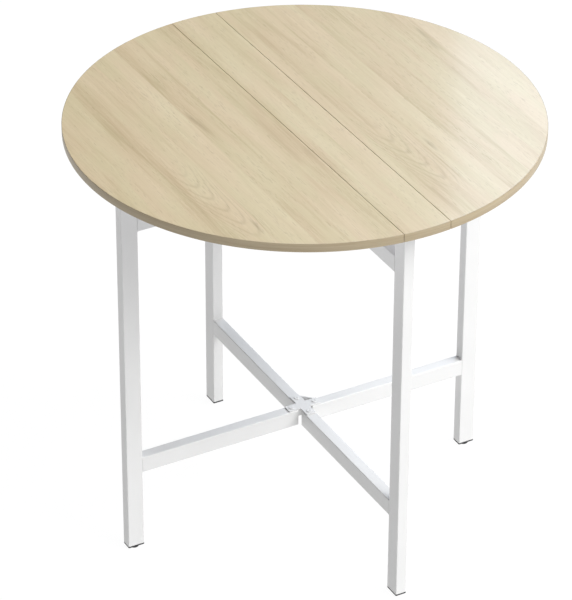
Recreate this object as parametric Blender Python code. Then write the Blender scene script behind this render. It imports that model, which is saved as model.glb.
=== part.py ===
# Gateleg table: a round top in three boards (a fixed centre strip and two
# hinged leaves) on a cross-shaped frame of rectangular tube. The front and
# back legs are fixed to the strip. The left and right legs are gates that
# turn on rivets at the hub and fold in against the front leg.
# Metres, +Z up. The origin is on the floor, under the middle of the top.
import math

import bmesh
import bpy
from mathutils import Matrix, Vector

# ---- top ----
TABLE_HEIGHT = 0.755        # floor to the top surface
TOP_DIAMETER = 0.800
BOARD_THICKNESS = 0.015
BOARD_ARRIS = 0.0006        # small chamfer round each board
STRIP_WIDTH = 0.084         # centre strip, between the two seams
SEAM_GAP = 0.0010           # strip to leaf
TOP_SEGMENTS = 88           # facets of the full round edge

# ---- frame tube ----
TUBE_DEPTH = 0.030          # tube size in the plane of its frame
TUBE_WIDTH = 0.020          # tube size across its frame
TUBE_WALL = 0.0015
TUBE_CORNER = 0.0015        # outer corner radius
LEG_REACH = 0.330           # middle of the top to the middle of a leg
LOWER_RAIL_Z = 0.154        # underside of the lower rails
UPPER_RAIL_Z = 0.631        # underside of the upper rails
RAIL_START = 0.014          # middle of the hub to the end of a rail

# ---- hub ----
PLATE_ARM_WIDTH = 0.0175
PLATE_REACH = 0.031
PLATE_THICKNESS = 0.002
PLATE_CORNER = 0.003
RIVET_OFFSET = 0.0225       # middle of the hub to each rivet
RIVET_RADIUS = 0.003
RIVET_HEAD_RADIUS = 0.00525
RIVET_HEAD_HEIGHT = 0.0018
RIVET_TAIL_RADIUS = 0.0045
RIVET_TAIL_HEIGHT = 0.0015
STOP_THICKNESS = 0.002
STOP_INSET = 0.002          # stop plate, below the rail's top and above its underside
LEFT_STOP_HEIGHT = 0.010    # the left stop stays low, out of sight behind its rail

# ---- feet and leg tops ----
GLIDE_RADIUS = 0.0070       # under the fixed legs
GATE_GLIDE_RADIUS = 0.0085  # wider under the gate legs, which slide
GLIDE_HEIGHT = 0.0040
GLIDE_ROUND = 0.0012
GLIDE_STEM_RADIUS = 0.0030
GLIDE_STEM_LENGTH = 0.010
FOOT_RIM = 0.0028           # rim of the foot plug under the tube
FOOT_PLUG_LENGTH = 0.018
PAD_RIM = 0.0015            # cap on a gate leg, under its leaf
PAD_PLUG_LENGTH = 0.014
MOUNT_THICKNESS = 0.0025
MOUNT_LENGTH = 0.075
MOUNT_SCREW_1 = 0.044       # outer end of the mount plate to its first screw
MOUNT_SCREW_2 = 0.064
SCREW_RADIUS = 0.0020
SCREW_HEAD_RADIUS = 0.0040
SCREW_HEAD_HEIGHT = 0.0022
SCREW_BITE = 0.0100         # length of a screw inside the board

# ---- leaf hinges ----
HINGE_Y = 0.200             # middle of the top to the middle of a hinge
HINGE_LENGTH = 0.050
HINGE_WING = 0.024          # pin to the outer edge of a wing
HINGE_PLATE = 0.0012
KNUCKLE_RADIUS = 0.0030
KNUCKLE_MIDDLE = 0.022      # length of the leaf's knuckle
PIN_RADIUS = 0.0015
PIN_HEAD = 0.0008
HINGE_HOLE_RADIUS = 0.0021
HINGE_HOLE_SPACING = 0.030
HINGE_HOLE_EDGE = 0.009     # wing's outer edge to its holes

GAP = 0.0003                # between pieces that touch
PIVOT_GAP = 0.0003          # round a rivet's shank
SWING_GAP = 0.0003          # between a turning rail's end and its stop plate

# ---- values that follow ----
UNDERSIDE = TABLE_HEIGHT - BOARD_THICKNESS
TUBE_BOTTOM = GLIDE_HEIGHT + GAP + FOOT_RIM + GAP
GATE_LEG_TOP = UNDERSIDE - GAP - PAD_RIM - GAP
FIXED_LEG_TOP = UNDERSIDE - GAP - MOUNT_THICKNESS - GAP
RAIL_END = LEG_REACH - TUBE_DEPTH / 2 - GAP
LOWER_PLATE_Z = LOWER_RAIL_Z + TUBE_DEPTH + GAP
UPPER_PLATE_Z = UPPER_RAIL_Z + TUBE_DEPTH + GAP
SEAM_X = STRIP_WIDTH / 2 + SEAM_GAP / 2
PIN_Z = UNDERSIDE - GAP - KNUCKLE_RADIUS

# sides of the table: name -> turn about Z that carries +X onto it
SIDES = {"right": 0, "back": 90, "left": 180, "front": 270}
GATES = ("left", "right")

COLOURS = {
    "oak": (0.66, 0.53, 0.36, 1.0, 0.45, 0.0),
    "paint": (0.83, 0.83, 0.82, 1.0, 0.38, 0.0),
    "plastic": (0.035, 0.035, 0.037, 1.0, 0.55, 0.0),
    "steel": (0.62, 0.62, 0.63, 1.0, 0.30, 1.0),
    "pad": (0.72, 0.72, 0.71, 1.0, 0.60, 0.0),
}


def clear_scene():
    for item in list(bpy.data.objects):
        bpy.data.objects.remove(item, do_unlink=True)


def make_material(name, kind):
    red, green, blue, alpha, roughness, metallic = COLOURS[kind]
    material = bpy.data.materials.new(name)
    material.use_nodes = True
    shader = material.node_tree.nodes["Principled BSDF"]
    shader.inputs["Base Color"].default_value = (red, green, blue, alpha)
    shader.inputs["Roughness"].default_value = roughness
    shader.inputs["Metallic"].default_value = metallic
    material.diffuse_color = (red, green, blue, alpha)
    return material


def add_object(name, bm, kind, parent=None):
    bmesh.ops.recalc_face_normals(bm, faces=bm.faces[:])
    mesh = bpy.data.meshes.new(name)
    bm.to_mesh(mesh)
    bm.free()
    piece = bpy.data.objects.new(name, mesh)
    bpy.context.scene.collection.objects.link(piece)
    mesh.materials.append(make_material(name + "_paint", kind))
    if parent:
        piece.parent = parent
        piece.matrix_parent_inverse = parent.matrix_world.inverted()
    return piece


def add_empty(name, location):
    empty = bpy.data.objects.new(name, None)
    empty.location = location
    bpy.context.scene.collection.objects.link(empty)
    bpy.context.view_layer.update()
    return empty


def cut(piece, bm, name):
    # subtracts the closed shape in bm from piece
    bmesh.ops.recalc_face_normals(bm, faces=bm.faces[:])
    mesh = bpy.data.meshes.new(name)
    bm.to_mesh(mesh)
    bm.free()
    cutter = bpy.data.objects.new(name, mesh)
    cutter.hide_render = True
    cutter.display_type = "WIRE"
    bpy.context.scene.collection.objects.link(cutter)
    modifier = piece.modifiers.new(name, "BOOLEAN")
    modifier.operation = "DIFFERENCE"
    modifier.solver = "EXACT"
    modifier.object = cutter
    return cutter


def smooth(piece, angle=35):
    piece.data.shade_smooth()
    piece.data.set_sharp_from_angle(angle=math.radians(angle))


def prism(bm, outline, z_low, z_high):
    # extrudes a closed outline of (x, y) points between two heights
    points = [bm.verts.new((x, y, z_low)) for x, y in outline]
    base = bm.faces.new(points)
    made = bmesh.ops.extrude_face_region(bm, geom=[base])
    top = [v for v in made["geom"] if isinstance(v, bmesh.types.BMVert)]
    bmesh.ops.translate(bm, verts=top, vec=(0, 0, z_high - z_low))
    return points + top


def box(bm, low, high):
    x0, y0, z0 = low
    x1, y1, z1 = high
    return prism(bm, [(x0, y0), (x1, y0), (x1, y1), (x0, y1)], z0, z1)


def disc(bm, radius, z_low, z_high, x=0.0, y=0.0, segments=16):
    place = Matrix.Translation((x, y, (z_low + z_high) / 2))
    return bmesh.ops.create_cone(
        bm, cap_ends=True, segments=segments, radius1=radius, radius2=radius,
        depth=z_high - z_low, matrix=place)["verts"]


def lathe(bm, profile, x=0.0, y=0.0, segments=16):
    # turns (radius, z) points about the vertical line through (x, y);
    # the profile starts and ends on that line
    points = [bm.verts.new((x + r, y, z)) for r, z in profile]
    edges = [bm.edges.new(pair) for pair in zip(points, points[1:])]
    bmesh.ops.spin(bm, geom=points + edges, cent=(x, y, 0), axis=(0, 0, 1),
                   angle=math.tau, steps=segments, use_duplicate=False)
    bmesh.ops.remove_doubles(bm, verts=bm.verts[:], dist=0.000005)


def rounded_outline(width, height, radius, steps=2):
    # corners of a rounded rectangle about the origin, counter-clockwise
    outline = []
    for quarter, (sx, sy) in enumerate(((1, 1), (-1, 1), (-1, -1), (1, -1))):
        cx = sx * (width / 2 - radius)
        cy = sy * (height / 2 - radius)
        for step in range(steps + 1):
            angle = math.radians(90 * (quarter + step / steps))
            outline.append((cx + radius * math.cos(angle),
                            cy + radius * math.sin(angle)))
    return outline


def tube(bm, width, height, length):
    # hollow tube along +Z from z = 0, open at both ends
    outer = rounded_outline(width, height, TUBE_CORNER)
    bore = rounded_outline(width - 2 * TUBE_WALL, height - 2 * TUBE_WALL,
                           max(TUBE_CORNER - TUBE_WALL, 0.0004))
    rings = []
    for z in (0.0, length):
        for outline in (outer, bore):
            rings.append([bm.verts.new((x, y, z)) for x, y in outline])
    low_outer, low_bore, high_outer, high_bore = rings
    count = len(outer)
    for i in range(count):
        j = (i + 1) % count
        bm.faces.new((low_outer[i], low_outer[j], high_outer[j], high_outer[i]))
        bm.faces.new((low_bore[j], low_bore[i], high_bore[i], high_bore[j]))
        bm.faces.new((low_outer[j], low_outer[i], low_bore[i], low_bore[j]))
        bm.faces.new((high_outer[i], high_outer[j], high_bore[j], high_bore[i]))


def turn_about_z(bm, degrees, verts=None):
    bmesh.ops.rotate(bm, verts=verts or bm.verts[:], cent=(0, 0, 0),
                     matrix=Matrix.Rotation(math.radians(degrees), 3, "Z"))


# ---------------------------------------------------------------- top
def arc(start, end, steps):
    radius = TOP_DIAMETER / 2
    return [(radius * math.cos(start + (end - start) * i / steps),
             radius * math.sin(start + (end - start) * i / steps))
            for i in range(steps + 1)]


def board(name, outline):
    bm = bmesh.new()
    prism(bm, outline, UNDERSIDE, TABLE_HEIGHT)
    bmesh.ops.recalc_face_normals(bm, faces=bm.faces[:])
    rims = [e for e in bm.edges
            if abs(e.verts[0].co.z - e.verts[1].co.z) < 1e-6]
    bmesh.ops.bevel(bm, geom=rims, offset=BOARD_ARRIS, offset_type="OFFSET",
                    segments=1, profile=0.5, affect="EDGES", material=-1,
                    clamp_overlap=True)
    return add_object(name, bm, "oak")


def make_boards():
    radius = TOP_DIAMETER / 2
    strip_turn = math.asin(STRIP_WIDTH / 2 / radius)
    leaf_turn = math.acos((STRIP_WIDTH / 2 + SEAM_GAP) / radius)
    strip_steps = 2 * max(1, round(TOP_SEGMENTS * strip_turn / math.tau))
    leaf_steps = 2 * max(4, round(TOP_SEGMENTS * leaf_turn / math.tau))
    quarter = math.pi / 2
    strip = board("strip_board",
                  arc(quarter - strip_turn, quarter + strip_turn, strip_steps)
                  + arc(-quarter - strip_turn, -quarter + strip_turn, strip_steps))
    right = board("leaf_right_board", arc(-leaf_turn, leaf_turn, leaf_steps))
    left = board("leaf_left_board",
                 arc(math.pi - leaf_turn, math.pi + leaf_turn, leaf_steps))
    for piece in (strip, right, left):
        smooth(piece, 20)
    return strip, left, right


# -------------------------------------------------------------- frame
def make_leg(side, parent):
    top = GATE_LEG_TOP if side in GATES else FIXED_LEG_TOP
    bm = bmesh.new()
    tube(bm, TUBE_DEPTH, TUBE_WIDTH, top - TUBE_BOTTOM)
    bmesh.ops.translate(bm, verts=bm.verts[:], vec=(LEG_REACH, 0, TUBE_BOTTOM))
    turn_about_z(bm, SIDES[side])
    add_object("leg_" + side, bm, "paint", parent)


def make_rail(level, side, z_low, parent):
    bm = bmesh.new()
    tube(bm, TUBE_DEPTH, TUBE_WIDTH, RAIL_END - RAIL_START)
    # stand the section's long side upright and lay the tube along +X
    bmesh.ops.rotate(bm, verts=bm.verts[:], cent=(0, 0, 0),
                     matrix=Matrix.Rotation(math.radians(90), 3, "Y"))
    bmesh.ops.translate(bm, verts=bm.verts[:],
                        vec=(RAIL_START, 0, z_low + TUBE_DEPTH / 2))
    turn_about_z(bm, SIDES[side])
    rail = add_object(level + "_rail_" + side, bm, "paint", parent)
    hole = bmesh.new()
    disc(hole, RIVET_RADIUS + PIVOT_GAP, z_low - 0.002,
         z_low + TUBE_DEPTH + 0.002, x=RIVET_OFFSET)
    turn_about_z(hole, SIDES[side])
    cut(rail, hole, "cut_" + level + "_rail_" + side)


def make_cross_plate(level, z_low):
    half = PLATE_ARM_WIDTH / 2
    corner = min(PLATE_CORNER, half * 0.9)
    arm = []
    for sign in (-1, 1):
        for step in range(3):
            angle = math.radians(45 * step if sign > 0 else -90 + 45 * step)
            arm.append((PLATE_REACH - corner + corner * math.cos(angle),
                        sign * (half - corner) + corner * math.sin(angle)))
    outline = []
    for turn in range(4):
        c, s = ((1, 0), (0, 1), (-1, 0), (0, -1))[turn]
        outline += [(x * c - y * s, x * s + y * c) for x, y in arm]
        outline.append((half * (c - s), half * (s + c)))
    bm = bmesh.new()
    prism(bm, outline, z_low, z_low + PLATE_THICKNESS)
    plate = add_object(level + "_cross_plate", bm, "paint")
    for side, turn in SIDES.items():
        hole = bmesh.new()
        disc(hole, RIVET_RADIUS + PIVOT_GAP, z_low - 0.001,
             z_low + PLATE_THICKNESS + 0.001, x=RIVET_OFFSET)
        turn_about_z(hole, turn)
        cut(plate, hole, "cut_" + level + "_plate_" + side)


def make_rivet(level, side, rail_z, plate_z):
    top = plate_z + PLATE_THICKNESS + GAP
    bottom = rail_z - GAP
    bm = bmesh.new()
    lathe(bm, [
        (0.0, bottom - RIVET_TAIL_HEIGHT),
        (RIVET_TAIL_RADIUS * 0.8, bottom - RIVET_TAIL_HEIGHT),
        (RIVET_TAIL_RADIUS, bottom - RIVET_TAIL_HEIGHT * 0.6),
        (RIVET_TAIL_RADIUS, bottom),
        (RIVET_RADIUS, bottom),
        (RIVET_RADIUS, top),
        (RIVET_HEAD_RADIUS, top),
        (RIVET_HEAD_RADIUS, top + RIVET_HEAD_HEIGHT * 0.35),
        (RIVET_HEAD_RADIUS * 0.72, top + RIVET_HEAD_HEIGHT * 0.9),
        (0.0, top + RIVET_HEAD_HEIGHT),
    ], x=RIVET_OFFSET)
    turn_about_z(bm, SIDES[side])
    smooth(add_object(level + "_rivet_" + side, bm, "paint"))


def make_stop(side):
    # upright plate across the corner between the back rail and a gate rail,
    # clear of the circle that the gate rail's end sweeps round its rivet
    swept = math.hypot(RIVET_OFFSET - RAIL_START, TUBE_WIDTH / 2)
    inner = RIVET_OFFSET + (swept + SWING_GAP) * math.sqrt(2)
    outer = inner + STOP_THICKNESS * math.sqrt(2)
    face = TUBE_WIDTH / 2 + GAP
    outline = [(face, inner - face), (inner - face, face),
               (outer - face, face), (face, outer - face)]
    if side == "left":
        outline = [(-x, y) for x, y in reversed(outline)]
    bm = bmesh.new()
    foot = LOWER_RAIL_Z + STOP_INSET
    head = LOWER_RAIL_Z + TUBE_DEPTH - STOP_INSET
    if side == "left":
        head = foot + LEFT_STOP_HEIGHT
    prism(bm, outline, foot, head)
    add_object("lower_stop_" + side, bm, "paint")


# ---------------------------------------------------- feet, leg tops
def bore_outline():
    return rounded_outline(TUBE_DEPTH - 2 * TUBE_WALL - 2 * GAP,
                           TUBE_WIDTH - 2 * TUBE_WALL - 2 * GAP, 0.0006)


def capped_plug(rim_low, rim_high, plug_end):
    # a rim of the tube's outline with a plug that enters the tube
    bm = bmesh.new()
    plug = bore_outline()
    rim = rounded_outline(TUBE_DEPTH, TUBE_WIDTH, TUBE_CORNER)
    inner = rim_high if plug_end > rim_high else rim_low
    outer = rim_low if plug_end > rim_high else rim_high
    rings = [[bm.verts.new((x, y, z)) for x, y in outline]
             for outline, z in ((rim, outer), (rim, inner),
                                (plug, inner), (plug, plug_end))]
    bm.faces.new(rings[0])
    bm.faces.new(rings[-1])
    for low, high in zip(rings, rings[1:]):
        for i in range(len(low)):
            j = (i + 1) % len(low)
            bm.faces.new((low[i], low[j], high[j], high[i]))
    bmesh.ops.recalc_face_normals(bm, faces=bm.faces[:])
    return bm


def place_at_leg(bm, side):
    bmesh.ops.translate(bm, verts=bm.verts[:], vec=(LEG_REACH, 0, 0))
    turn_about_z(bm, SIDES[side])


def make_foot(side, parent):
    rim_low = GLIDE_HEIGHT + GAP
    rim_high = rim_low + FOOT_RIM
    bm = capped_plug(rim_low, rim_high, rim_high + GAP + FOOT_PLUG_LENGTH)
    place_at_leg(bm, side)
    plug = add_object("foot_plug_" + side, bm, "plastic", parent)
    hole = bmesh.new()
    disc(hole, GLIDE_STEM_RADIUS + GAP, rim_low - 0.002,
         GLIDE_HEIGHT + GLIDE_STEM_LENGTH + GAP, segments=12)
    place_at_leg(hole, side)
    cut(plug, hole, "cut_foot_plug_" + side)
    radius = GATE_GLIDE_RADIUS if side in GATES else GLIDE_RADIUS
    bm = bmesh.new()
    lathe(bm, [
        (0.0, 0.0),
        (radius - GLIDE_ROUND, 0.0),
        (radius - GLIDE_ROUND * 0.3, GLIDE_ROUND * 0.3),
        (radius, GLIDE_ROUND),
        (radius, GLIDE_HEIGHT),
        (GLIDE_STEM_RADIUS, GLIDE_HEIGHT),
        (GLIDE_STEM_RADIUS, GLIDE_HEIGHT + GLIDE_STEM_LENGTH),
        (0.0, GLIDE_HEIGHT + GLIDE_STEM_LENGTH),
    ], segments=20)
    place_at_leg(bm, side)
    smooth(add_object("glide_" + side, bm, "plastic", parent))


def make_leg_pad(side, parent):
    rim_high = UNDERSIDE - GAP
    rim_low = rim_high - PAD_RIM
    bm = capped_plug(rim_low, rim_high, rim_low - GAP - PAD_PLUG_LENGTH)
    place_at_leg(bm, side)
    add_object("leg_pad_" + side, bm, "pad", parent)


def make_mount(side, strip):
    # plate on a fixed leg, screwed up into the centre strip
    z_high = UNDERSIDE - GAP
    z_low = z_high - MOUNT_THICKNESS
    outer = LEG_REACH + TUBE_DEPTH / 2
    bm = bmesh.new()
    box(bm, (outer - MOUNT_LENGTH, -TUBE_WIDTH / 2, z_low),
        (outer, TUBE_WIDTH / 2, z_high))
    turn_about_z(bm, SIDES[side])
    plate = add_object("mount_plate_" + side, bm, "paint")
    for number, back in enumerate((MOUNT_SCREW_1, MOUNT_SCREW_2), start=1):
        x = outer - back
        tag = "%s_%d" % (side, number)
        for piece, low, high in (
                (plate, z_low - 0.001, z_high + GAP / 2),
                (strip, z_high, UNDERSIDE + SCREW_BITE + GAP)):
            hole = bmesh.new()
            disc(hole, SCREW_RADIUS + GAP, low, high, x=x, segments=12)
            turn_about_z(hole, SIDES[side])
            cut(piece, hole, "cut_%s_%s" % (piece.name, tag))
        head = z_low - GAP
        bm = bmesh.new()
        lathe(bm, [
            (0.0, head - SCREW_HEAD_HEIGHT),
            (SCREW_HEAD_RADIUS * 0.6, head - SCREW_HEAD_HEIGHT * 0.95),
            (SCREW_HEAD_RADIUS, head - SCREW_HEAD_HEIGHT * 0.4),
            (SCREW_HEAD_RADIUS, head),
            (SCREW_RADIUS, head),
            (SCREW_RADIUS, UNDERSIDE + SCREW_BITE * 0.75),
            (0.0, UNDERSIDE + SCREW_BITE),
        ], x=x, segments=12)
        turn_about_z(bm, SIDES[side])
        smooth(add_object("mount_screw_" + tag, bm, "steel"))


# ------------------------------------------------------------- hinges
def hinge_wing(name, knuckles, notches, side, y, parent):
    # a flat wing under its board, running from the pin at x = 0 to +x;
    # knuckles and notches are spans along y
    edge = KNUCKLE_RADIUS + 0.0005
    half = HINGE_LENGTH / 2
    steps = sorted([(a, b, 0.0) for a, b in knuckles]
                   + [(a, b, edge) for a, b in notches])
    outline = [(HINGE_WING, -half), (HINGE_WING, half)]
    for low, high, x in reversed(steps):
        outline += [(x, high), (x, low)]
    z_high = UNDERSIDE - GAP
    bm = bmesh.new()
    prism(bm, outline, z_high - HINGE_PLATE, z_high)
    piece_bm = bm
    if side < 0:
        bmesh.ops.scale(piece_bm, vec=(-1, 1, 1), verts=piece_bm.verts[:])
    piece = add_object(name, piece_bm, "steel", parent)
    shift = Matrix.Translation((parent_x(name), y, 0))
    piece.data.transform(shift)
    return piece


def parent_x(name):
    return SEAM_X if "right" in name else -SEAM_X


def rod(bm, radius, x, z, y_low, y_high, segments=16):
    place = (Matrix.Translation((x, (y_low + y_high) / 2, z))
             @ Matrix.Rotation(math.radians(90), 4, "X"))
    bmesh.ops.create_cone(bm, cap_ends=True, segments=segments, radius1=radius,
                          radius2=radius, depth=y_high - y_low, matrix=place)


def join(piece, bm, name):
    # unions the closed shape in bm with piece
    cutter = cut(piece, bm, name)
    piece.modifiers[-1].operation = "UNION"
    return cutter


def make_hinge(side_name, end_name, y, leaf_empty):
    side = 1 if side_name == "right" else -1
    x = side * SEAM_X
    half = HINGE_LENGTH / 2
    inner = KNUCKLE_MIDDLE / 2
    middle = [(-inner, inner)]
    ends = [(-half, -inner - GAP), (inner + GAP, half)]
    tag = side_name + "_" + end_name
    strip_wing = hinge_wing("strip_wing_" + tag, ends,
                            [(-inner - GAP, inner + GAP)], -side, y, None)
    leaf_wing = hinge_wing("leaf_wing_" + tag, middle,
                           [(-half, -inner), (inner, half)], side, y, leaf_empty)
    for wing, spans in ((strip_wing, ends), (leaf_wing, middle)):
        for number, (low, high) in enumerate(spans, start=1):
            bm = bmesh.new()
            rod(bm, KNUCKLE_RADIUS, x, PIN_Z, y + low, y + high)
            join(wing, bm, "join_%s_%d" % (wing.name, number))
        bm = bmesh.new()
        rod(bm, PIN_RADIUS + GAP, x, PIN_Z, y - half - 0.001, y + half + 0.001)
        cut(wing, bm, "cut_" + wing.name)
        out = -side if wing is strip_wing else side
        for number, along in enumerate((-0.5, 0.5), start=1):
            bm = bmesh.new()
            disc(bm, HINGE_HOLE_RADIUS, UNDERSIDE - GAP - HINGE_PLATE - 0.001,
                 UNDERSIDE + 0.001, x=x + out * (HINGE_WING - HINGE_HOLE_EDGE),
                 y=y + along * HINGE_HOLE_SPACING, segments=12)
            cut(wing, bm, "cut_%s_hole_%d" % (wing.name, number))
    bm = bmesh.new()
    rod(bm, PIN_RADIUS, x, PIN_Z, y - half - PIN_HEAD, y + half + PIN_HEAD, 12)
    smooth(add_object("hinge_pin_" + tag, bm, "steel"))


def main():
    clear_scene()
    gates = {
        "left": add_empty("left_gate_axis", (-RIVET_OFFSET, 0, 0)),
        "right": add_empty("right_gate_axis", (RIVET_OFFSET, 0, 0)),
    }
    leaves = {
        "left": add_empty("left_leaf_axis", (-SEAM_X, 0, PIN_Z)),
        "right": add_empty("right_leaf_axis", (SEAM_X, 0, PIN_Z)),
    }
    strip, left, right = make_boards()
    for piece, side in ((left, "left"), (right, "right")):
        piece.parent = leaves[side]
        piece.matrix_parent_inverse = leaves[side].matrix_world.inverted()
    for side in SIDES:
        parent = gates.get(side)
        make_leg(side, parent)
        make_rail("lower", side, LOWER_RAIL_Z, parent)
        make_rail("upper", side, UPPER_RAIL_Z, parent)
        make_foot(side, parent)
        make_rivet("lower", side, LOWER_RAIL_Z, LOWER_PLATE_Z)
        make_rivet("upper", side, UPPER_RAIL_Z, UPPER_PLATE_Z)
        if side in GATES:
            make_leg_pad(side, parent)
            make_stop(side)
        else:
            make_mount(side, strip)
    make_cross_plate("lower", LOWER_PLATE_Z)
    make_cross_plate("upper", UPPER_PLATE_Z)
    for side in GATES:
        for end_name, y in (("front", -HINGE_Y), ("back", HINGE_Y)):
            make_hinge(side, end_name, y, leaves[side])


main()
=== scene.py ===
import math

import bmesh
import bpy
from mathutils import Matrix, Vector


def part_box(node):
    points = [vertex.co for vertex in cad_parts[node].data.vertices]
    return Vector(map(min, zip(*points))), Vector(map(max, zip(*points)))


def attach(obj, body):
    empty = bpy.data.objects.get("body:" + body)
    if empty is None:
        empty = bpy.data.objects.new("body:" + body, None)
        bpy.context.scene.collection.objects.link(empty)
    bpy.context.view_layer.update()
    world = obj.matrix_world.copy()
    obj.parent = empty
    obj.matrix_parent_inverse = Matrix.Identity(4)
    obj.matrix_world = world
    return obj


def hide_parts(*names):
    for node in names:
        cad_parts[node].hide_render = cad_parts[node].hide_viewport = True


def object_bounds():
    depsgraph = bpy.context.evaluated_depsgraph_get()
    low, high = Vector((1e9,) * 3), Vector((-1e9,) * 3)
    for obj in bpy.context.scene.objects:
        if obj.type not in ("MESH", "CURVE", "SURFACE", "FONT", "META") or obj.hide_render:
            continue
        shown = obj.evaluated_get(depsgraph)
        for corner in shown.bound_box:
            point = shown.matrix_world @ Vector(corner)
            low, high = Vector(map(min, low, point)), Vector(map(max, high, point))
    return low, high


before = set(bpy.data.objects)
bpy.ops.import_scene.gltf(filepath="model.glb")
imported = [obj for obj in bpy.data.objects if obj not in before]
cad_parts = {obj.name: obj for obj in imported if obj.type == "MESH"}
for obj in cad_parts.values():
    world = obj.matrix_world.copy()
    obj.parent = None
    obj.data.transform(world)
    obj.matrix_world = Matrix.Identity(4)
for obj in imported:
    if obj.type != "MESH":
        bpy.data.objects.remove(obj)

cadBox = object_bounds()
print("frame loaded:", len(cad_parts), "CAD nodes")


# shader maths: sockets that can be added, multiplied and compared
class Amount:
    # one number that varies over a surface
    def __init__(self, graph, socket):
        self.graph = graph
        self.socket = socket

    def use(self, operation, *others):
        values = dict(enumerate((self,) + others))
        return self.graph.amount("ShaderNodeMath", {"operation": operation}, values)

    def __add__(self, other):
        return self.use("ADD", other)

    def __sub__(self, other):
        return self.use("SUBTRACT", other)

    def __mul__(self, other):
        return self.use("MULTIPLY", other)

    def __pow__(self, other):
        return self.use("POWER", other)

    def __neg__(self):
        return self.use("MULTIPLY", -1.0)

    def __rsub__(self, other):
        return -self + other

    __radd__ = __add__
    __rmul__ = __mul__

    def smooth(self, low, high, start=0.0, end=1.0):
        # eased step from start to end between two values
        return self.graph.amount("ShaderNodeMapRange",
                                 {"interpolation_type": "SMOOTHSTEP"},
                                 {0: self, 1: low, 2: high, 3: start, 4: end})


class Graph:
    # the nodes of one material, or of the world
    def __init__(self, tree):
        self.tree = tree

    def node(self, kind, settings=None, sockets=None):
        node = self.tree.nodes.new(kind)
        for name, value in (settings or {}).items():
            if name == "stops":
                ramp = node.color_ramp
                while len(ramp.elements) < len(value):
                    ramp.elements.new(0.5)
                for element, (spot, colour) in zip(ramp.elements, value):
                    element.position = spot
                    shade = colour if isinstance(colour, tuple) else (colour,) * 3
                    element.color = (*shade, 1.0)
            elif name == "interpolation":
                node.color_ramp.interpolation = value
            else:
                setattr(node, name, value)
        for name, value in (sockets or {}).items():
            self.link(node.inputs[name], value)
        return node

    def link(self, place, value):
        if isinstance(value, Amount):
            value = value.socket
        if isinstance(value, bpy.types.NodeSocket):
            self.tree.links.new(value, place)
        elif isinstance(value, tuple) and place.type == "RGBA":
            place.default_value = (*value, 1.0)[:4]
        else:
            place.default_value = value

    def amount(self, kind, settings=None, sockets=None, out=0):
        return Amount(self, self.node(kind, settings, sockets).outputs[out])

    def split(self, vector):
        parts = self.node("ShaderNodeSeparateXYZ", None, {0: vector}).outputs
        return [Amount(self, out) for out in parts]

    def at(self, x, y, z):
        return self.node("ShaderNodeCombineXYZ", None, {0: x, 1: y, 2: z}).outputs[0]

    def noise(self, where, scale=1.0, detail=2.0, rough=0.5):
        return self.amount("ShaderNodeTexNoise", None, {
            "Vector": where, "Scale": scale, "Detail": detail, "Roughness": rough})

    def ramp(self, amount, stops, kind="LINEAR"):
        return self.node("ShaderNodeValToRGB", {"interpolation": kind, "stops": stops},
                         {0: amount}).outputs[0]

    def number(self, colour):
        return self.amount("ShaderNodeRGBToBW", None, {0: colour})

    def mix(self, amount, low, high, how="MIX"):
        return self.node("ShaderNodeMix", {"data_type": "RGBA", "blend_type": how},
                         {0: amount, 6: low, 7: high}).outputs[2]


class Finish(Graph):
    # a material on one Principled shader
    def __init__(self, name, **fixed):
        self.material = bpy.data.materials.new(name)
        self.material.use_nodes = True
        super().__init__(self.material.node_tree)
        self.shader = self.tree.nodes["Principled BSDF"]
        for socket, value in fixed.items():
            self.set(socket.replace("_", " "), value)
        self.place = self.node("ShaderNodeTexCoord").outputs["Object"]
        self.x, self.y, self.z = self.split(self.place)

    def set(self, socket, value):
        self.link(self.shader.inputs[socket], value)

    def bump(self, height, depth):
        # depth is the height's full swing, in metres
        self.set("Normal", self.node("ShaderNodeBump", None, {
            "Height": height, "Distance": depth}).outputs[0])


def fromScreen(red, green, blue):
    # a screen colour, 0 to 255, as linear light
    made = []
    for value in (red, green, blue):
        value /= 255
        made.append(value / 12.92 if value <= 0.04045
                    else ((value + 0.055) / 1.055) ** 2.4)
    return tuple(made)


# shaping a bmesh and turning it into a finished piece
def roundEdges(bm, edges, radius, steps):
    bmesh.ops.bevel(bm, geom=edges, offset=radius, offset_type="OFFSET",
                    segments=steps, profile=0.5, affect="EDGES", material=-1,
                    clamp_overlap=True)


def moveNew(bm, made, by):
    # moves what an extrude has just made
    bmesh.ops.translate(
        bm, verts=[v for v in made if isinstance(v, bmesh.types.BMVert)], vec=by)


def makePiece(name, bm, body, finish, replaced=(), sharp=30):
    bmesh.ops.remove_doubles(bm, verts=bm.verts[:], dist=0.000004)
    bmesh.ops.recalc_face_normals(bm, faces=bm.faces[:])
    mesh = bpy.data.meshes.new(name)
    bm.to_mesh(mesh)
    bm.free()
    mesh.shade_smooth()
    mesh.set_sharp_from_angle(angle=math.radians(sharp))
    piece = bpy.data.objects.new(name, mesh)
    bpy.context.scene.collection.objects.link(piece)
    mesh.materials.append(finish.material)
    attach(piece, body)
    if replaced:
        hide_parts(*replaced)
    return piece


def addBar(bm, low, high, radius, steps, along):
    # a bar between two corners, its four long edges rounded
    low, high = Vector(low), Vector(high)
    size = high - low
    place = Matrix.Translation((low + high) / 2) @ Matrix.Diagonal((*size, 1.0))
    made = bmesh.ops.create_cube(bm, size=1.0, matrix=place)["verts"]
    edges = {e for v in made for e in v.link_edges}
    long = [e for e in edges
            if abs((e.verts[0].co - e.verts[1].co)[along]) > size[along] * 0.9]
    roundEdges(bm, long, radius, steps)


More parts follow.
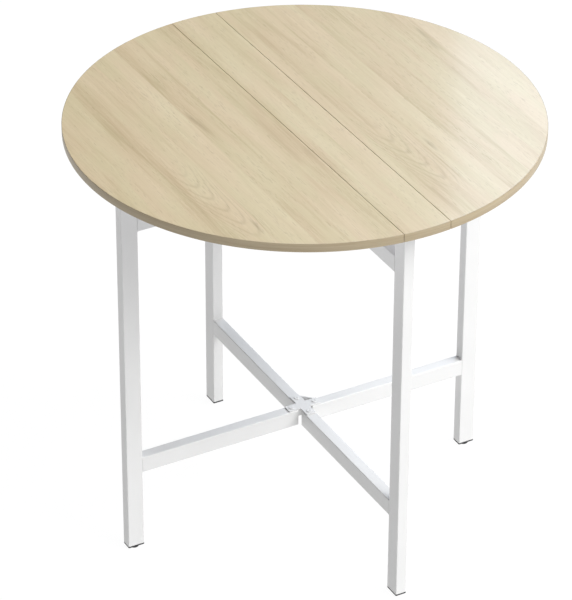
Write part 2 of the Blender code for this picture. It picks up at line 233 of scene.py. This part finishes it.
def addTurned(bm, profile, centre, steps):
    # spins (radius, height) points once round the vertical line at centre
    x, y = centre
    points = [bm.verts.new((x + r, y, z)) for r, z in profile]
    edges = [bm.edges.new(pair) for pair in zip(points, points[1:])]
    bmesh.ops.spin(bm, geom=points + edges, cent=(x, y, 0), axis=(0, 0, 1),
                   angle=math.tau, steps=steps, use_merge=True)


# the finishes, in metres on Object coordinates
oak = {
    "light": fromScreen(234, 216, 180),
    "middle": fromScreen(220, 200, 161),
    "dark": fromScreen(193, 169, 129),
    "line": fromScreen(150, 127, 92),
    "tone": (0.868, 0.888, 0.945),    # multiplies the whole print
    # how much each part of the grain lightens or darkens the print
    "base": 0.13, "stave": 0.78, "wide": 0.36, "tongue": 0.10,
    "streak": 0.50, "fibre": 0.60, "mottle": 0.20,
    "pores": 0.24, "arch": 0.24, "fleck": 0.38,
    "backing": (0.66, 0.65, 0.68),    # plain grey sheet under the boards
    "backTop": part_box("strip_board")[0].z + 0.0002,
    "rosy": (1.0, 0.972, 0.955),
    "olive": (0.978, 0.995, 0.950),
    # arches: middle across the grain, and where they end along it
    "arches": [(-0.262, -0.300, 0.000), (0.088, -0.310, -0.020)],
    "archSteep": 170.0,
    "archPitch": 0.046,
    # dark flecks: place across and along the grain
    "flecks": [(-0.165, 0.085), (-0.163, 0.055), (0.138, -0.175), (-0.048, -0.105),
               (0.320, 0.165), (0.316, 0.120), (-0.235, -0.265)],
    # place across the top in metres, tone from 0 dark to 1 light
    "staves": [(-0.400, .44), (-0.357, .42), (-0.353, .50), (-0.318, .52),
               (-0.300, .36), (-0.292, .22), (-0.284, .30), (-0.268, .55),
               (-0.228, .60), (-0.2245, .34), (-0.222, .52), (-0.200, .66),
               (-0.174, .74), (-0.172, .30), (-0.156, .36), (-0.148, .54),
               (-0.132, .50), (-0.127, .34), (-0.1235, .56), (-0.088, .60),
               (-0.084, .48), (-0.068, .34), (-0.043, .34), (-0.036, .42),
               (-0.028, .62), (-0.012, .72), (0.000, .54), (0.010, .56),
               (0.040, .70), (0.050, .64)],
    "stavesRight": [(0.043, .64), (0.060, .50), (0.066, .26), (0.076, .44),
                    (0.100, .46), (0.124, .62), (0.1265, .30), (0.130, .48),
                    (0.148, .62), (0.176, .68), (0.178, .36), (0.196, .40),
                    (0.208, .54), (0.222, .48), (0.231, .30), (0.234, .56),
                    (0.262, .60), (0.272, .50), (0.300, .44), (0.318, .34),
                    (0.325, .34), (0.330, .62), (0.360, .60), (0.400, .58)],
    # edges of the staves, for each one's own grain
    "edges": [-0.400, -0.355, -0.292, -0.225, -0.172, -0.126, -0.085, -0.028,
              0.005, 0.060, 0.127, 0.177, 0.2325, 0.272, 0.322],
}


def woodGrain(name, **fixed):
    finish = Finish(name, **fixed)
    x, y, z = finish.x, finish.y, finish.z
    wander = finish.noise(finish.at(x * 5.0, y * 2.2, 0.0), 1.0, 3.0) - 0.5
    across = x + wander * 0.010
    spot = (x + wander * 0.0012) + 0.4

    left = finish.number(finish.ramp(
        spot * (1 / 0.45), [((s + 0.4) / 0.45, t) for s, t in oak["staves"]]))
    right = finish.number(finish.ramp(
        (spot - 0.443) * (1 / 0.357),
        [((s - 0.043) / 0.357, t) for s, t in oak["stavesRight"]]))
    onRight = x.smooth(0.0425, 0.0430)
    stave = left * (1 - onRight) + right * onRight

    count = len(oak["edges"])
    own = finish.number(finish.ramp(
        spot * (1 / 0.8), [((s + 0.4) / 0.8, ((i * 7) % count) / count)
                           for i, s in enumerate(oak["edges"])], "CONSTANT"))

    # tongues and streaks along the grain, fine fibres and short dark pores
    wide = finish.noise(finish.at(across * 26.0, y * 3.2, own * 31.0), 1.0, 3.0, 0.55)
    tongue = finish.noise(finish.at(across * 44.0, y * 3.6, own * 13.0 + 5.0),
                          1.0, 2.0, 0.5).smooth(0.50, 0.57)
    streak = finish.noise(finish.at(across * 120.0, y * 4.5, own * 17.0), 1.0, 3.0, 0.6)
    fibre = finish.noise(finish.at(across * 420.0, y * 9.0, own * 23.0), 1.0, 3.0, 0.7)
    pore = finish.noise(finish.at(x * 700.0, y * 55.0, own * 41.0), 1.0, 1.0)
    pores = pore.smooth(0.58, 0.68) * streak.smooth(0.38, 0.60)
    mottle = finish.noise(finish.at(x * 13.0, y * 5.5, 2.0), 1.0, 2.0)

    # pointed arches of flat-sawn boards, once in each repeat of the decor
    arches = None
    for centre, low, high in oak["arches"]:
        off = across - (y.smooth(low, low + 0.20, centre + 0.016, centre))
        phase = (y - off * off * oak["archSteep"] + wander * 0.12
                 + (fibre - 0.5) * 0.012)
        ring = (phase * (math.tau / oak["archPitch"])).use("SINE") * 0.5 + 0.5
        inside = (off.use("ABSOLUTE").smooth(0.026, 0.038, 1.0, 0.0)
                  * y.smooth(low - 0.02, low + 0.03)
                  * y.smooth(high - 0.12, high, 1.0, 0.0))
        arch = ring ** 5.0 * inside * fibre.smooth(0.25, 0.7, 0.55, 1.0)
        arches = arch if arches is None else arches + arch

    # small dark flecks where a knot's shadow shows in the print
    flecks = None
    for fx, fy in oak["flecks"]:
        aside, ahead = across - fx, (y - fy) * 0.16
        near = (aside * aside + ahead * ahead) ** 0.5
        fleck = near.smooth(0.0, 0.0060, 1.0, 0.0) * streak.smooth(0.3, 0.6, 0.4, 1.0)
        flecks = fleck if flecks is None else flecks + fleck

    shade = (stave * oak["stave"] + oak["base"] + (wide - 0.5) * oak["wide"]
             - tongue * oak["tongue"] + (streak - 0.5) * oak["streak"]
             + (fibre - 0.5) * oak["fibre"] + (mottle - 0.5) * oak["mottle"])
    colour = finish.ramp(shade, [(0.0, oak["dark"]), (0.42, oak["middle"]),
                                 (0.90, oak["light"])])
    marks = (pores * oak["pores"] + arches * oak["arch"]
             + flecks * oak["fleck"]).use("MINIMUM", 0.6)
    colour = finish.mix(marks, colour, oak["line"])
    warm = finish.noise(finish.at(across * 24.0, y * 6.0, own * 9.0 + 3.0), 1.0, 2.0)
    colour = finish.mix(warm.smooth(0.35, 0.65), finish.mix(
        1.0, colour, oak["rosy"], "MULTIPLY"), finish.mix(
        1.0, colour, oak["olive"], "MULTIPLY"))
    colour = finish.mix(1.0, colour, oak["tone"], "MULTIPLY")
    under = z.smooth(oak["backTop"], oak["backTop"] + 0.0001, 1.0, 0.0)
    finish.set("Base Color", finish.mix(under, colour, finish.mix(
        pore.smooth(0.60, 0.72) * 0.10, oak["backing"], oak["line"])))
    rough = (0.36 + (1 - shade) * 0.07 + pores * 0.10
             + (finish.noise(finish.place, 900.0, 2.0) - 0.5) * 0.05)
    finish.set("Roughness", rough)
    finish.bump(fibre * 0.5 - pores * 0.9 - arches * 0.25
                + finish.noise(finish.place, 1500.0, 1.0) * 0.25, 0.00006)
    return finish


edgeBand = {
    "dark": fromScreen(151, 134, 106),
    "middle": fromScreen(173, 159, 132),
    "light": fromScreen(187, 175, 151),
}


def edgeGrain(name):
    # printed edge band: plain grain that runs along the edge
    finish = Finish(name)
    turn = finish.y.use("ARCTAN2", finish.x)
    streak = finish.noise(finish.at(turn * 2.0, finish.z * 240.0, 3.0), 1.0, 3.0, 0.6)
    fibre = finish.noise(finish.at(turn * 9.0, finish.z * 1500.0, 7.0), 1.0, 2.0, 0.6)
    shade = 0.30 + (streak - 0.5) * 0.9 + (fibre - 0.5) * 0.5
    finish.set("Base Color", finish.ramp(shade, [
        (0.0, edgeBand["dark"]), (0.5, edgeBand["middle"]), (1.0, edgeBand["light"])]))
    finish.set("Roughness", 0.38 + (fibre - 0.5) * 0.12)
    finish.bump(fibre, 0.00004)
    return finish


def powderCoat(name, colour, roughness=0.40):
    # sprayed and baked: fine orange peel, faint cloudiness
    finish = Finish(name, Coat_Weight=0.10, Coat_Roughness=0.25)
    peel = finish.noise(finish.place, 520.0, 2.0, 0.45)
    grit = finish.noise(finish.place, 2600.0, 2.0, 0.6)
    cloud = finish.noise(finish.place, 9.0, 3.0, 0.5)
    base = finish.mix(cloud.smooth(0.3, 0.7), colour,
                      tuple(c * 0.972 for c in colour))
    specks = grit.smooth(0.70, 0.78) * 0.12
    finish.set("Base Color", finish.mix(specks, base, tuple(c * 0.80 for c in colour)))
    finish.set("Roughness", roughness + (peel - 0.5) * 0.12 + (cloud - 0.5) * 0.05)
    finish.bump(peel * 0.8 + grit * 0.2, 0.00006)
    return finish


def mouldedPlastic(name, colour, roughness=0.52):
    finish = Finish(name)
    grain = finish.noise(finish.place, 1400.0, 2.0, 0.6)
    wear = finish.noise(finish.place, 160.0, 3.0, 0.6)
    scuff = (finish.z.smooth(0.0, 0.004, 1.0, 0.0)) * wear.smooth(0.45, 0.65)
    finish.set("Base Color", finish.mix(
        scuff * 0.5, colour, tuple(min(1.0, c * 2.2 + 0.03) for c in colour)))
    finish.set("Roughness", roughness + (grain - 0.5) * 0.18 + scuff * 0.15)
    finish.bump(grain, 0.00005)
    return finish


def platedSteel(name, colour=(0.60, 0.60, 0.62), roughness=0.30):
    # bright zinc on pressed steel
    finish = Finish(name, Metallic=1.0)
    brushed = finish.noise(finish.at(finish.x * 260.0, finish.y * 3200.0,
                                     finish.z * 3200.0), 1.0, 2.0, 0.6)
    bloom = finish.noise(finish.place, 420.0, 3.0, 0.55)
    finish.set("Base Color", finish.mix(bloom.smooth(0.35, 0.7), colour,
                                        tuple(c * 0.84 for c in colour)))
    finish.set("Roughness", roughness + (brushed - 0.5) * 0.16 + (bloom - 0.5) * 0.12)
    finish.bump(brushed, 0.00002)
    return finish


topFinish = woodGrain("oakDecor", Coat_Weight=0.5, Coat_Roughness=0.10,
                      Specular_IOR_Level=0.5)
bandFinish = edgeGrain("oakEdgeBand")
whitePaint = powderCoat("whitePowderCoat", (0.735, 0.735, 0.731))
darkPlastic = mouldedPlastic("darkFootPlastic", (0.026, 0.026, 0.028))
paleCap = mouldedPlastic("paleCapPlastic", (0.70, 0.70, 0.69), 0.48)
zinc = platedSteel("zincPlate")
print("finishes made")


# the top: three boards and their edge band
top = {
    "steps": 256,             # facets round the full edge
    "band": 0.0009,           # thickness of the edge band
    "outerRound": 0.0005,     # rounding of the band's corners
    "seamRound": 0.00012,     # and of the boards' edges along the seams
    "glueLine": 0.00002,      # between a board and its band
    "longEdge": 0.05,         # an edge longer than this runs along a seam
}


def cutAtSeams(bm, low, high, radius):
    for spot, side in ((low, -1), (high, 1)):
        if abs(spot) < radius * 0.98:
            geometry = bm.verts[:] + bm.edges[:] + bm.faces[:]
            bmesh.ops.bisect_plane(bm, geom=geometry, plane_co=(spot, 0, 0),
                                   plane_no=(side, 0, 0), clear_outer=True)


def raiseFaces(bm, height):
    moveNew(bm, bmesh.ops.extrude_face_region(bm, geom=bm.faces[:])["geom"],
            (0, 0, height))


def flatEdges(bm):
    # level edges between a face and a side
    bmesh.ops.recalc_face_normals(bm, faces=bm.faces[:])
    return [e for e in bm.edges if len(e.link_faces) == 2
            and abs(e.verts[0].co.z - e.verts[1].co.z) < 1e-6
            and abs(e.link_faces[0].normal.z - e.link_faces[1].normal.z) > 0.5]


def makeBoard(name, node, body):
    low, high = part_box(node)
    radius = (cadBox[1] - cadBox[0])[1] / 2
    place = Matrix.Translation((0, 0, low.z))

    # board faced with the decor above and below
    bm = bmesh.new()
    bmesh.ops.create_circle(bm, cap_ends=True, segments=top["steps"],
                            radius=radius - top["band"] - top["glueLine"],
                            matrix=place)
    cutAtSeams(bm, low.x, high.x, radius)
    raiseFaces(bm, high.z - low.z)
    roundEdges(bm, [e for e in flatEdges(bm) if e.calc_length() > top["longEdge"]],
               top["seamRound"], 2)
    makePiece(name, bm, body, topFinish, (node,), 20)

    # band round the outer edge
    bm = bmesh.new()
    bmesh.ops.create_circle(bm, cap_ends=True, segments=top["steps"], radius=radius,
                            matrix=place)
    core = bm.faces[:]
    bmesh.ops.inset_region(bm, faces=core, thickness=top["band"],
                           use_even_offset=True, use_boundary=True)
    bmesh.ops.delete(bm, geom=core, context="FACES")
    raiseFaces(bm, high.z - low.z)
    outer = [e for e in flatEdges(bm)
             if all(abs(v.co.xy.length - radius) < 1e-5 for v in e.verts)]
    roundEdges(bm, outer, top["outerRound"], 3)
    cutAtSeams(bm, low.x, high.x, radius)
    bmesh.ops.holes_fill(bm, edges=[e for e in bm.edges if e.is_boundary], sides=0)
    makePiece(name + "Band", bm, body, bandFinish, (), 20)


makeBoard("centreBoard", "strip_board", "frame")
makeBoard("leftLeaf", "leaf_left_board", "left_leaf")
makeBoard("rightLeaf", "leaf_right_board", "right_leaf")

# two lips that pass each other deep in each seam keep light from coming through
lip = {
    "reach": 0.0006,          # out from the board's side
    "root": 0.0002,           # and into it
    "height": 0.0008,
    "strip": 0.0001,          # underside of the board to the strip's lip
    "leaf": 0.0013,           # and to the leaf's lip above it
    "ends": 0.004,            # short of the rim
    "corner": 0.0001,
}


def makeLip(name, body, face, way, rise):
    # face is the side it grows from, way the direction along X
    low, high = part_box("strip_board")
    reach = (high.y ** 2 - face ** 2) ** 0.5 - lip["ends"]
    ends = sorted((face - way * lip["root"], face + way * lip["reach"]))
    bm = bmesh.new()
    addBar(bm, (ends[0], -reach, low.z + rise),
           (ends[1], reach, low.z + rise + lip["height"]), lip["corner"], 1, 1)
    makePiece(name, bm, body, topFinish, (), 20)


stripLow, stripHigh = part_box("strip_board")
makeLip("seamLipStripRight", "frame", stripHigh.x, 1, lip["strip"])
makeLip("seamLipStripLeft", "frame", stripLow.x, -1, lip["strip"])
makeLip("seamLipLeafRight", "right_leaf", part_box("leaf_right_board")[0].x, -1,
        lip["leaf"])
makeLip("seamLipLeafLeft", "left_leaf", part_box("leaf_left_board")[1].x, 1, lip["leaf"])
print("top made")


# legs and rails, each rail welded to its own leg
tubing = {
    "corner": 0.0016,
    "steps": 5,
    "wall": 0.0015,
    "mouth": 0.0012,          # depth of the closed end inside a rail's rim
    "bead": 0.0011,           # ground weld where a rail meets its leg
    "flush": 0.0001,          # the bead's sides, inside the rail's
    "root": 0.0002,           # the bead's reach into the leg
}
sides = ("left", "right", "front", "back")
bodyOf = {"left": "left_gate", "right": "right_gate", "front": "frame", "back": "frame"}

for side in sides:
    legLow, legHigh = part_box("leg_" + side)
    bm = bmesh.new()
    addBar(bm, legLow, legHigh, tubing["corner"], tubing["steps"], 2)
    makePiece("leg" + side.title(), bm, bodyOf[side], whitePaint,
              ("leg_" + side,), 5)
    for level in ("lower", "upper"):
        node = "%s_rail_%s" % (level, side)
        low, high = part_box(node)
        along = 0 if side in ("left", "right") else 1
        sign = 1 if side in ("right", "back") else -1
        end = legLow[along] if sign > 0 else legHigh[along]
        # the rail runs right up to its leg
        near, far = Vector(low), Vector(high)
        if sign > 0:
            far[along] = end
        else:
            near[along] = end
        bm = bmesh.new()
        addBar(bm, near, far, tubing["corner"], tubing["steps"], along)
        inward = Vector((0, 0, 0))
        inward[along] = sign
        mouth = [f for f in bm.faces
                 if abs(f.calc_center_median()[along]
                        - (near if sign > 0 else far)[along]) < 1e-5]
        bmesh.ops.inset_region(bm, faces=mouth, thickness=tubing["wall"],
                               use_even_offset=True, use_boundary=True)
        grown = bmesh.ops.extrude_face_region(bm, geom=mouth)["geom"]
        bmesh.ops.delete(bm, geom=mouth, context="FACES")
        moveNew(bm, grown, inward * tubing["mouth"])
        title = level + "Rail" + side.title()
        makePiece(title, bm, bodyOf[side], whitePaint, (node,),
                  5)
        # weld bead round the joint
        near, far = Vector(low), Vector(high)
        near.z -= tubing["bead"] * 0.55
        far.z += tubing["bead"] * 0.55
        near[1 - along] += tubing["flush"]
        far[1 - along] -= tubing["flush"]
        if sign > 0:
            near[along], far[along] = end - tubing["bead"], end + tubing["root"]
        else:
            near[along], far[along] = end - tubing["root"], end + tubing["bead"]
        bm = bmesh.new()
        addBar(bm, near, far, tubing["corner"], 3, along)
        rims = [e for e in bm.edges if abs(
            (e.verts[0].co - e.verts[1].co)[along]) < 1e-7
            and abs(e.verts[0].co[along]
                    - (near if sign > 0 else far)[along]) < 1e-6]
        roundEdges(bm, rims, tubing["bead"] * 0.45, 2)
        makePiece(title + "Weld", bm, bodyOf[side], whitePaint, (),
                  35)
print("legs and rails made")


# the cross plates and rivets that the gates turn on
hub = {
    "armWidth": 0.0175,
    "armEnd": 0.0018,         # rounding of the arms' corners
    "innerCorner": 0.0012,
    "edge": 0.00035,
    "headSteps": 40,
    "headRise": 0.0010,       # height of a rivet's head
    "headRadius": 0.0046,
    "headRound": 0.0006,
    "headSeat": 0.0018,       # top of the CAD's head to the underside of this one
    "shank": 0.003,
    "tailRise": 0.0015,
    "dimple": 0.0016,         # hollow in the middle of a head
    "dimpleDeep": 0.0003,
}


def makeCrossPlate(level):
    node = level + "_cross_plate"
    low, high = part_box(node)
    half, reach = hub["armWidth"] / 2, high.x
    bm = bmesh.new()
    core = bmesh.ops.create_grid(
        bm, x_segments=1, y_segments=1, size=half,
        matrix=Matrix.Translation((0, 0, low.z)))["verts"]
    for edge in [e for e in bm.edges if all(v in core for v in e.verts)]:
        middle = (edge.verts[0].co + edge.verts[1].co) / 2
        out = Vector((middle.x, middle.y, 0)).normalized()
        moveNew(bm, bmesh.ops.extrude_edge_only(bm, edges=[edge])["geom"],
                out * (reach - half))
    bmesh.ops.recalc_face_normals(bm, faces=bm.faces[:])
    raiseFaces(bm, high.z - low.z)
    upright = [e for e in bm.edges
               if abs(e.verts[0].co.z - e.verts[1].co.z) > 0.001]
    ends = [e for e in upright if e.verts[0].co.xy.length > reach * 0.95]
    inner = [e for e in upright if e.verts[0].co.xy.length < half * 1.6]
    roundEdges(bm, ends, hub["armEnd"], 5)
    roundEdges(bm, inner, hub["innerCorner"], 5)
    bmesh.ops.recalc_face_normals(bm, faces=bm.faces[:])
    rims = [e for e in bm.edges if len(e.link_faces) == 2
            and abs(e.calc_face_angle(0.0)) > 1.2
            and abs(e.verts[0].co.z - e.verts[1].co.z) < 1e-6]
    roundEdges(bm, rims, hub["edge"], 2)
    makePiece(level + "CrossPlate", bm, "frame", whitePaint, (node,),
              20)


def makeRivet(level, side):
    node = "%s_rivet_%s" % (level, side)
    low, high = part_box(node)
    x, y = (low.x + high.x) / 2, (low.y + high.y) / 2
    tail = (high.x - low.x) / 2
    head, shank = hub["headRadius"], hub["shank"]
    tailTop = low.z + hub["tailRise"]
    seat = high.z - hub["headSeat"]
    crown = seat + hub["headRise"]
    profile = [(0.0, low.z), (tail * 0.55, low.z), (tail * 0.76, low.z + 0.0003),
               (tail * 0.85, low.z + 0.0008), (tail * 0.85, tailTop),
               (shank, tailTop), (shank, seat), (head, seat)]
    for step in range(5):
        angle = math.radians(90 * step / 4)
        profile.append((head - hub["headRound"] * (1 - math.cos(angle)),
                        crown - hub["headRound"] * (1 - math.sin(angle))))
    dip = hub["dimple"]
    hollow = crown - hub["dimpleDeep"]
    profile += [(dip * 1.15, crown + 0.0001), (dip, crown),
                (dip * 0.9, hollow), (0.0, hollow)]
    bm = bmesh.new()
    addTurned(bm, profile, (x, y), hub["headSteps"])
    makePiece(level + "Rivet" + side.title(), bm, "frame", whitePaint, (node,),
              35)


for level in ("lower", "upper"):
    makeCrossPlate(level)
    for side in sides:
        makeRivet(level, side)
print("hub made")


# foot plugs and round glides
foot = {
    "rimEdge": 0.0004,
    "glideRound": 0.0015,
    "steps": 48,
}

for side in sides:
    low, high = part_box("leg_" + side)
    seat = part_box("foot_plug_" + side)[0].z
    bm = bmesh.new()
    addBar(bm, (low.x, low.y, seat), (high.x, high.y, low.z),
           tubing["corner"], tubing["steps"], 2)
    rims = [e for e in bm.edges if abs(e.verts[0].co.z - e.verts[1].co.z) < 1e-7
            and abs(e.verts[0].co.z - seat) < 1e-6]
    roundEdges(bm, rims, foot["rimEdge"], 2)
    makePiece("footPlug" + side.title(), bm, bodyOf[side], darkPlastic,
              ("foot_plug_" + side,), 20)
    low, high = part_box("glide_" + side)
    x, y, radius = (low.x + high.x) / 2, (low.y + high.y) / 2, (high.x - low.x) / 2
    rounding = foot["glideRound"]
    profile = [(0.0, 0.0), (radius - rounding * 1.2, 0.0)]
    for step in range(6):
        angle = math.radians(-90 + 90 * step / 5)
        profile.append((radius - rounding + rounding * math.cos(angle),
                        rounding + rounding * math.sin(angle)))
    profile += [(radius, seat - 0.0009), (radius - 0.0006, seat - 0.0003),
                (0.0, seat - 0.0003)]
    bm = bmesh.new()
    addTurned(bm, profile, (x, y), foot["steps"])
    makePiece("glide" + side.title(), bm, bodyOf[side], darkPlastic,
              ("glide_" + side,), 35)
print("feet made")


# countersunk screws in the leaf hinges
screws = {
    "radius": 0.0034,         # rim of a countersunk head
    "depth": 0.0011,
    "spacing": 0.030,
    "edge": 0.009,
    "slotLong": 0.0021,
    "slotWide": 0.00045,
    "slotDeep": 0.0006,
    "dome": 0.0002,
    "taper": 0.62,            # back of the head against its rim
    "plate": 0.00155,         # top of a hinge plate down to the head's rim
}


def makeScrew(name, x, y, z, body, turn):
    # head seen from below: a low disc with a cross recess pressed into it
    bm = bmesh.new()
    bmesh.ops.create_circle(bm, cap_ends=True, segments=32, radius=screws["radius"],
                            matrix=Matrix.Translation((0, 0, z)))
    face = next(iter(bm.faces))
    for share, drop in ((0.12, screws["dome"] * 0.6), (0.25, screws["dome"] * 0.4)):
        bmesh.ops.inset_region(bm, faces=[face], thickness=screws["radius"] * share,
                               use_even_offset=True, use_boundary=True)
        bmesh.ops.translate(bm, verts=face.verts[:], vec=(0, 0, -drop))
    star = []
    wide, long = screws["slotWide"], screws["slotLong"]
    for quarter in range(4):
        base = math.radians(90 * quarter)
        for px, py in ((long, -wide), (long, wide), (wide, wide)):
            star.append((px * math.cos(base) - py * math.sin(base),
                         px * math.sin(base) + py * math.cos(base)))
    ring = [bm.verts.new((px, py, z - screws["dome"])) for px, py in star]
    edges = face.edges[:]
    bmesh.ops.delete(bm, geom=[face], context="FACES_ONLY")
    inner = [bm.edges.new((ring[i], ring[(i + 1) % len(ring)]))
             for i in range(len(ring))]
    bmesh.ops.bridge_loops(bm, edges=edges + inner)
    floor = bm.faces.new(ring)
    pressed = bmesh.ops.extrude_face_region(bm, geom=[floor])["geom"]
    bmesh.ops.delete(bm, geom=[floor], context="FACES_ONLY")
    moveNew(bm, pressed, (0, 0, screws["slotDeep"]))
    rim = [e for e in bm.edges if e.is_boundary]
    back = bmesh.ops.extrude_edge_only(bm, edges=rim)["geom"]
    backVerts = [v for v in back if isinstance(v, bmesh.types.BMVert)]
    bmesh.ops.scale(bm, verts=backVerts, vec=(screws["taper"], screws["taper"], 1.0))
    bmesh.ops.translate(bm, verts=backVerts, vec=(0, 0, screws["depth"]))
    bmesh.ops.holes_fill(bm, edges=[e for e in bm.edges if e.is_boundary], sides=0)
    bmesh.ops.transform(bm, verts=bm.verts[:], matrix=Matrix.Translation((x, y, 0))
                        @ Matrix.Rotation(math.radians(turn), 4, "Z"))
    makePiece(name, bm, body, zinc, (), 25)


count = 0
for side, sign in (("left", -1), ("right", 1)):
    for end in ("front", "back"):
        for wing, body, outward in (("strip_wing", "frame", -sign),
                                    ("leaf_wing", side + "_leaf", sign)):
            low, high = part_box("%s_%s_%s" % (wing, side, end))
            x = (high.x - screws["edge"]) if outward > 0 else (low.x + screws["edge"])
            middle = (low.y + high.y) / 2
            for along in (-0.5, 0.5):
                count += 1
                makeScrew("hingeScrew%d" % count, x,
                          middle + along * screws["spacing"],
                          high.z - screws["plate"], body, (count * 37) % 90)
print("screws made:", count)


# finishes on the CAD pieces that stay
for name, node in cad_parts.items():
    if node.hide_render:
        continue
    if name.startswith(("strip_wing", "leaf_wing", "hinge_pin", "mount_screw")):
        finish = zinc
    elif name.startswith("leg_pad"):
        finish = paleCap
    else:
        finish = whitePaint
    if not node.material_slots:
        node.data.materials.append(finish.material)
    for place in node.material_slots:
        place.material = finish.material
print("CAD pieces finished")


# floor, light and camera
studio = {
    "floorSize": 60.0,
    "floorGlow": 0.97,
    "floorShade": 0.05,
    "ambient": 0.09,          # soft light from all round
    "key": (310.0, 43.0),     # where the big soft light hangs, round and up
    "keyLight": 6.2,
    "keyLow": 0.2,            # how much of it is left near the horizon
    "keySpread": 8.0,         # higher is smaller
    "softbox": (20.0, 2.7, 1.6),    # nearer lamp, same place: power, distance, size
    "softboxAim": 0.45,       # height that it points at
    # panel behind on the right, for the sheen: power, distance, degrees round
    "highlight": (142.0, 6.0, 44.4),
    "highlightSize": (2.45, 6.0),
    "highlightMiddle": 4.2,   # height of its middle
    "highlightTone": (0.84, 1.0, 1.20),
}

floorFinish = Finish("paleFloor", Roughness=0.9, Specular_IOR_Level=0.0,
                     Base_Color=(studio["floorShade"],) * 3,
                     Emission_Color=(1.0, 1.0, 1.0),
                     Emission_Strength=studio["floorGlow"])
bm = bmesh.new()
bmesh.ops.create_grid(bm, x_segments=1, y_segments=1, size=studio["floorSize"] / 2)
floorMesh = bpy.data.meshes.new("floor")
bm.to_mesh(floorMesh)
bm.free()
floorMesh.materials.append(floorFinish.material)
floor = bpy.data.objects.new("floor", floorMesh)
bpy.context.scene.collection.objects.link(floor)

world = bpy.data.worlds.new("studio")
bpy.context.scene.world = world
world.use_nodes = True
sky = Graph(world.node_tree)
dx, dy, dz = sky.split(sky.node("ShaderNodeTexCoord").outputs["Generated"])
turn, lift = (math.radians(a) for a in studio["key"])
near = (dx * (math.cos(turn) * math.cos(lift)) + dy * (math.sin(turn) * math.cos(lift))
        + dz * math.sin(lift))
around = (near.use("MAXIMUM", 0.0) ** studio["keySpread"] * studio["keyLight"]
          * dz.smooth(0.12, 0.55, studio["keyLow"], 1.0) + studio["ambient"])
# pale where it meets the floor, and white behind the table for the camera
haze = dz.smooth(0.01, 0.09, 1.0, 0.0).use("MAXIMUM", sky.amount("ShaderNodeLightPath"))
sky.link(world.node_tree.nodes["Background"].inputs["Strength"],
         around * (1 - haze) + haze)
sky.link(world.node_tree.nodes["Background"].inputs["Color"], (1.0, 1.0, 1.0))


def addPanel(name, power, location, target, width, height):
    light = bpy.data.lights.new(name, "AREA")
    light.shape = "RECTANGLE"
    light.size, light.size_y = width, height
    light.energy = power
    lamp = bpy.data.objects.new(name, light)
    lamp.location = location
    aim = Vector(target) - Vector(location)
    lamp.rotation_euler = aim.to_track_quat("-Z", "Y").to_euler()
    lamp.visible_camera = False
    bpy.context.scene.collection.objects.link(lamp)
    return lamp


power, far, size = studio["softbox"]
aim = studio["softboxAim"]
softbox = addPanel("softbox", power, (
    far * math.cos(turn) * math.cos(lift), far * math.sin(turn) * math.cos(lift),
    far * math.sin(lift) + aim), (0.0, 0.0, aim), size, size)
softbox.visible_glossy = False      # no glare on the top from the far side

power, far, aside = studio["highlight"]
aside, middle = math.radians(aside), studio["highlightMiddle"]
panel = addPanel("highlight", power,
                 (far * math.cos(aside), far * math.sin(aside), middle),
                 (0.0, 0.0, middle), *studio["highlightSize"])
panel.data.color = studio["highlightTone"]

view = bpy.context.scene.view_settings
view.view_transform, view.look = "Standard", "None"
view.exposure, view.gamma = 0.0, 1.0

shot = {
    "location": (-2.5054, -4.5026, 3.6567),
    "turn": (57.703, -0.196, -28.638),      # degrees
    "lens": 215.36,
}
cameraData = bpy.data.cameras.new("camera")
cameraData.lens = shot["lens"]
cameraData.sensor_width = 36.0
cameraData.clip_start, cameraData.clip_end = 0.1, 200.0
camera = bpy.data.objects.new("camera", cameraData)
camera.location = shot["location"]
camera.rotation_euler = [math.radians(a) for a in shot["turn"]]
bpy.context.scene.collection.objects.link(camera)
bpy.context.scene.camera = camera
print("studio made")
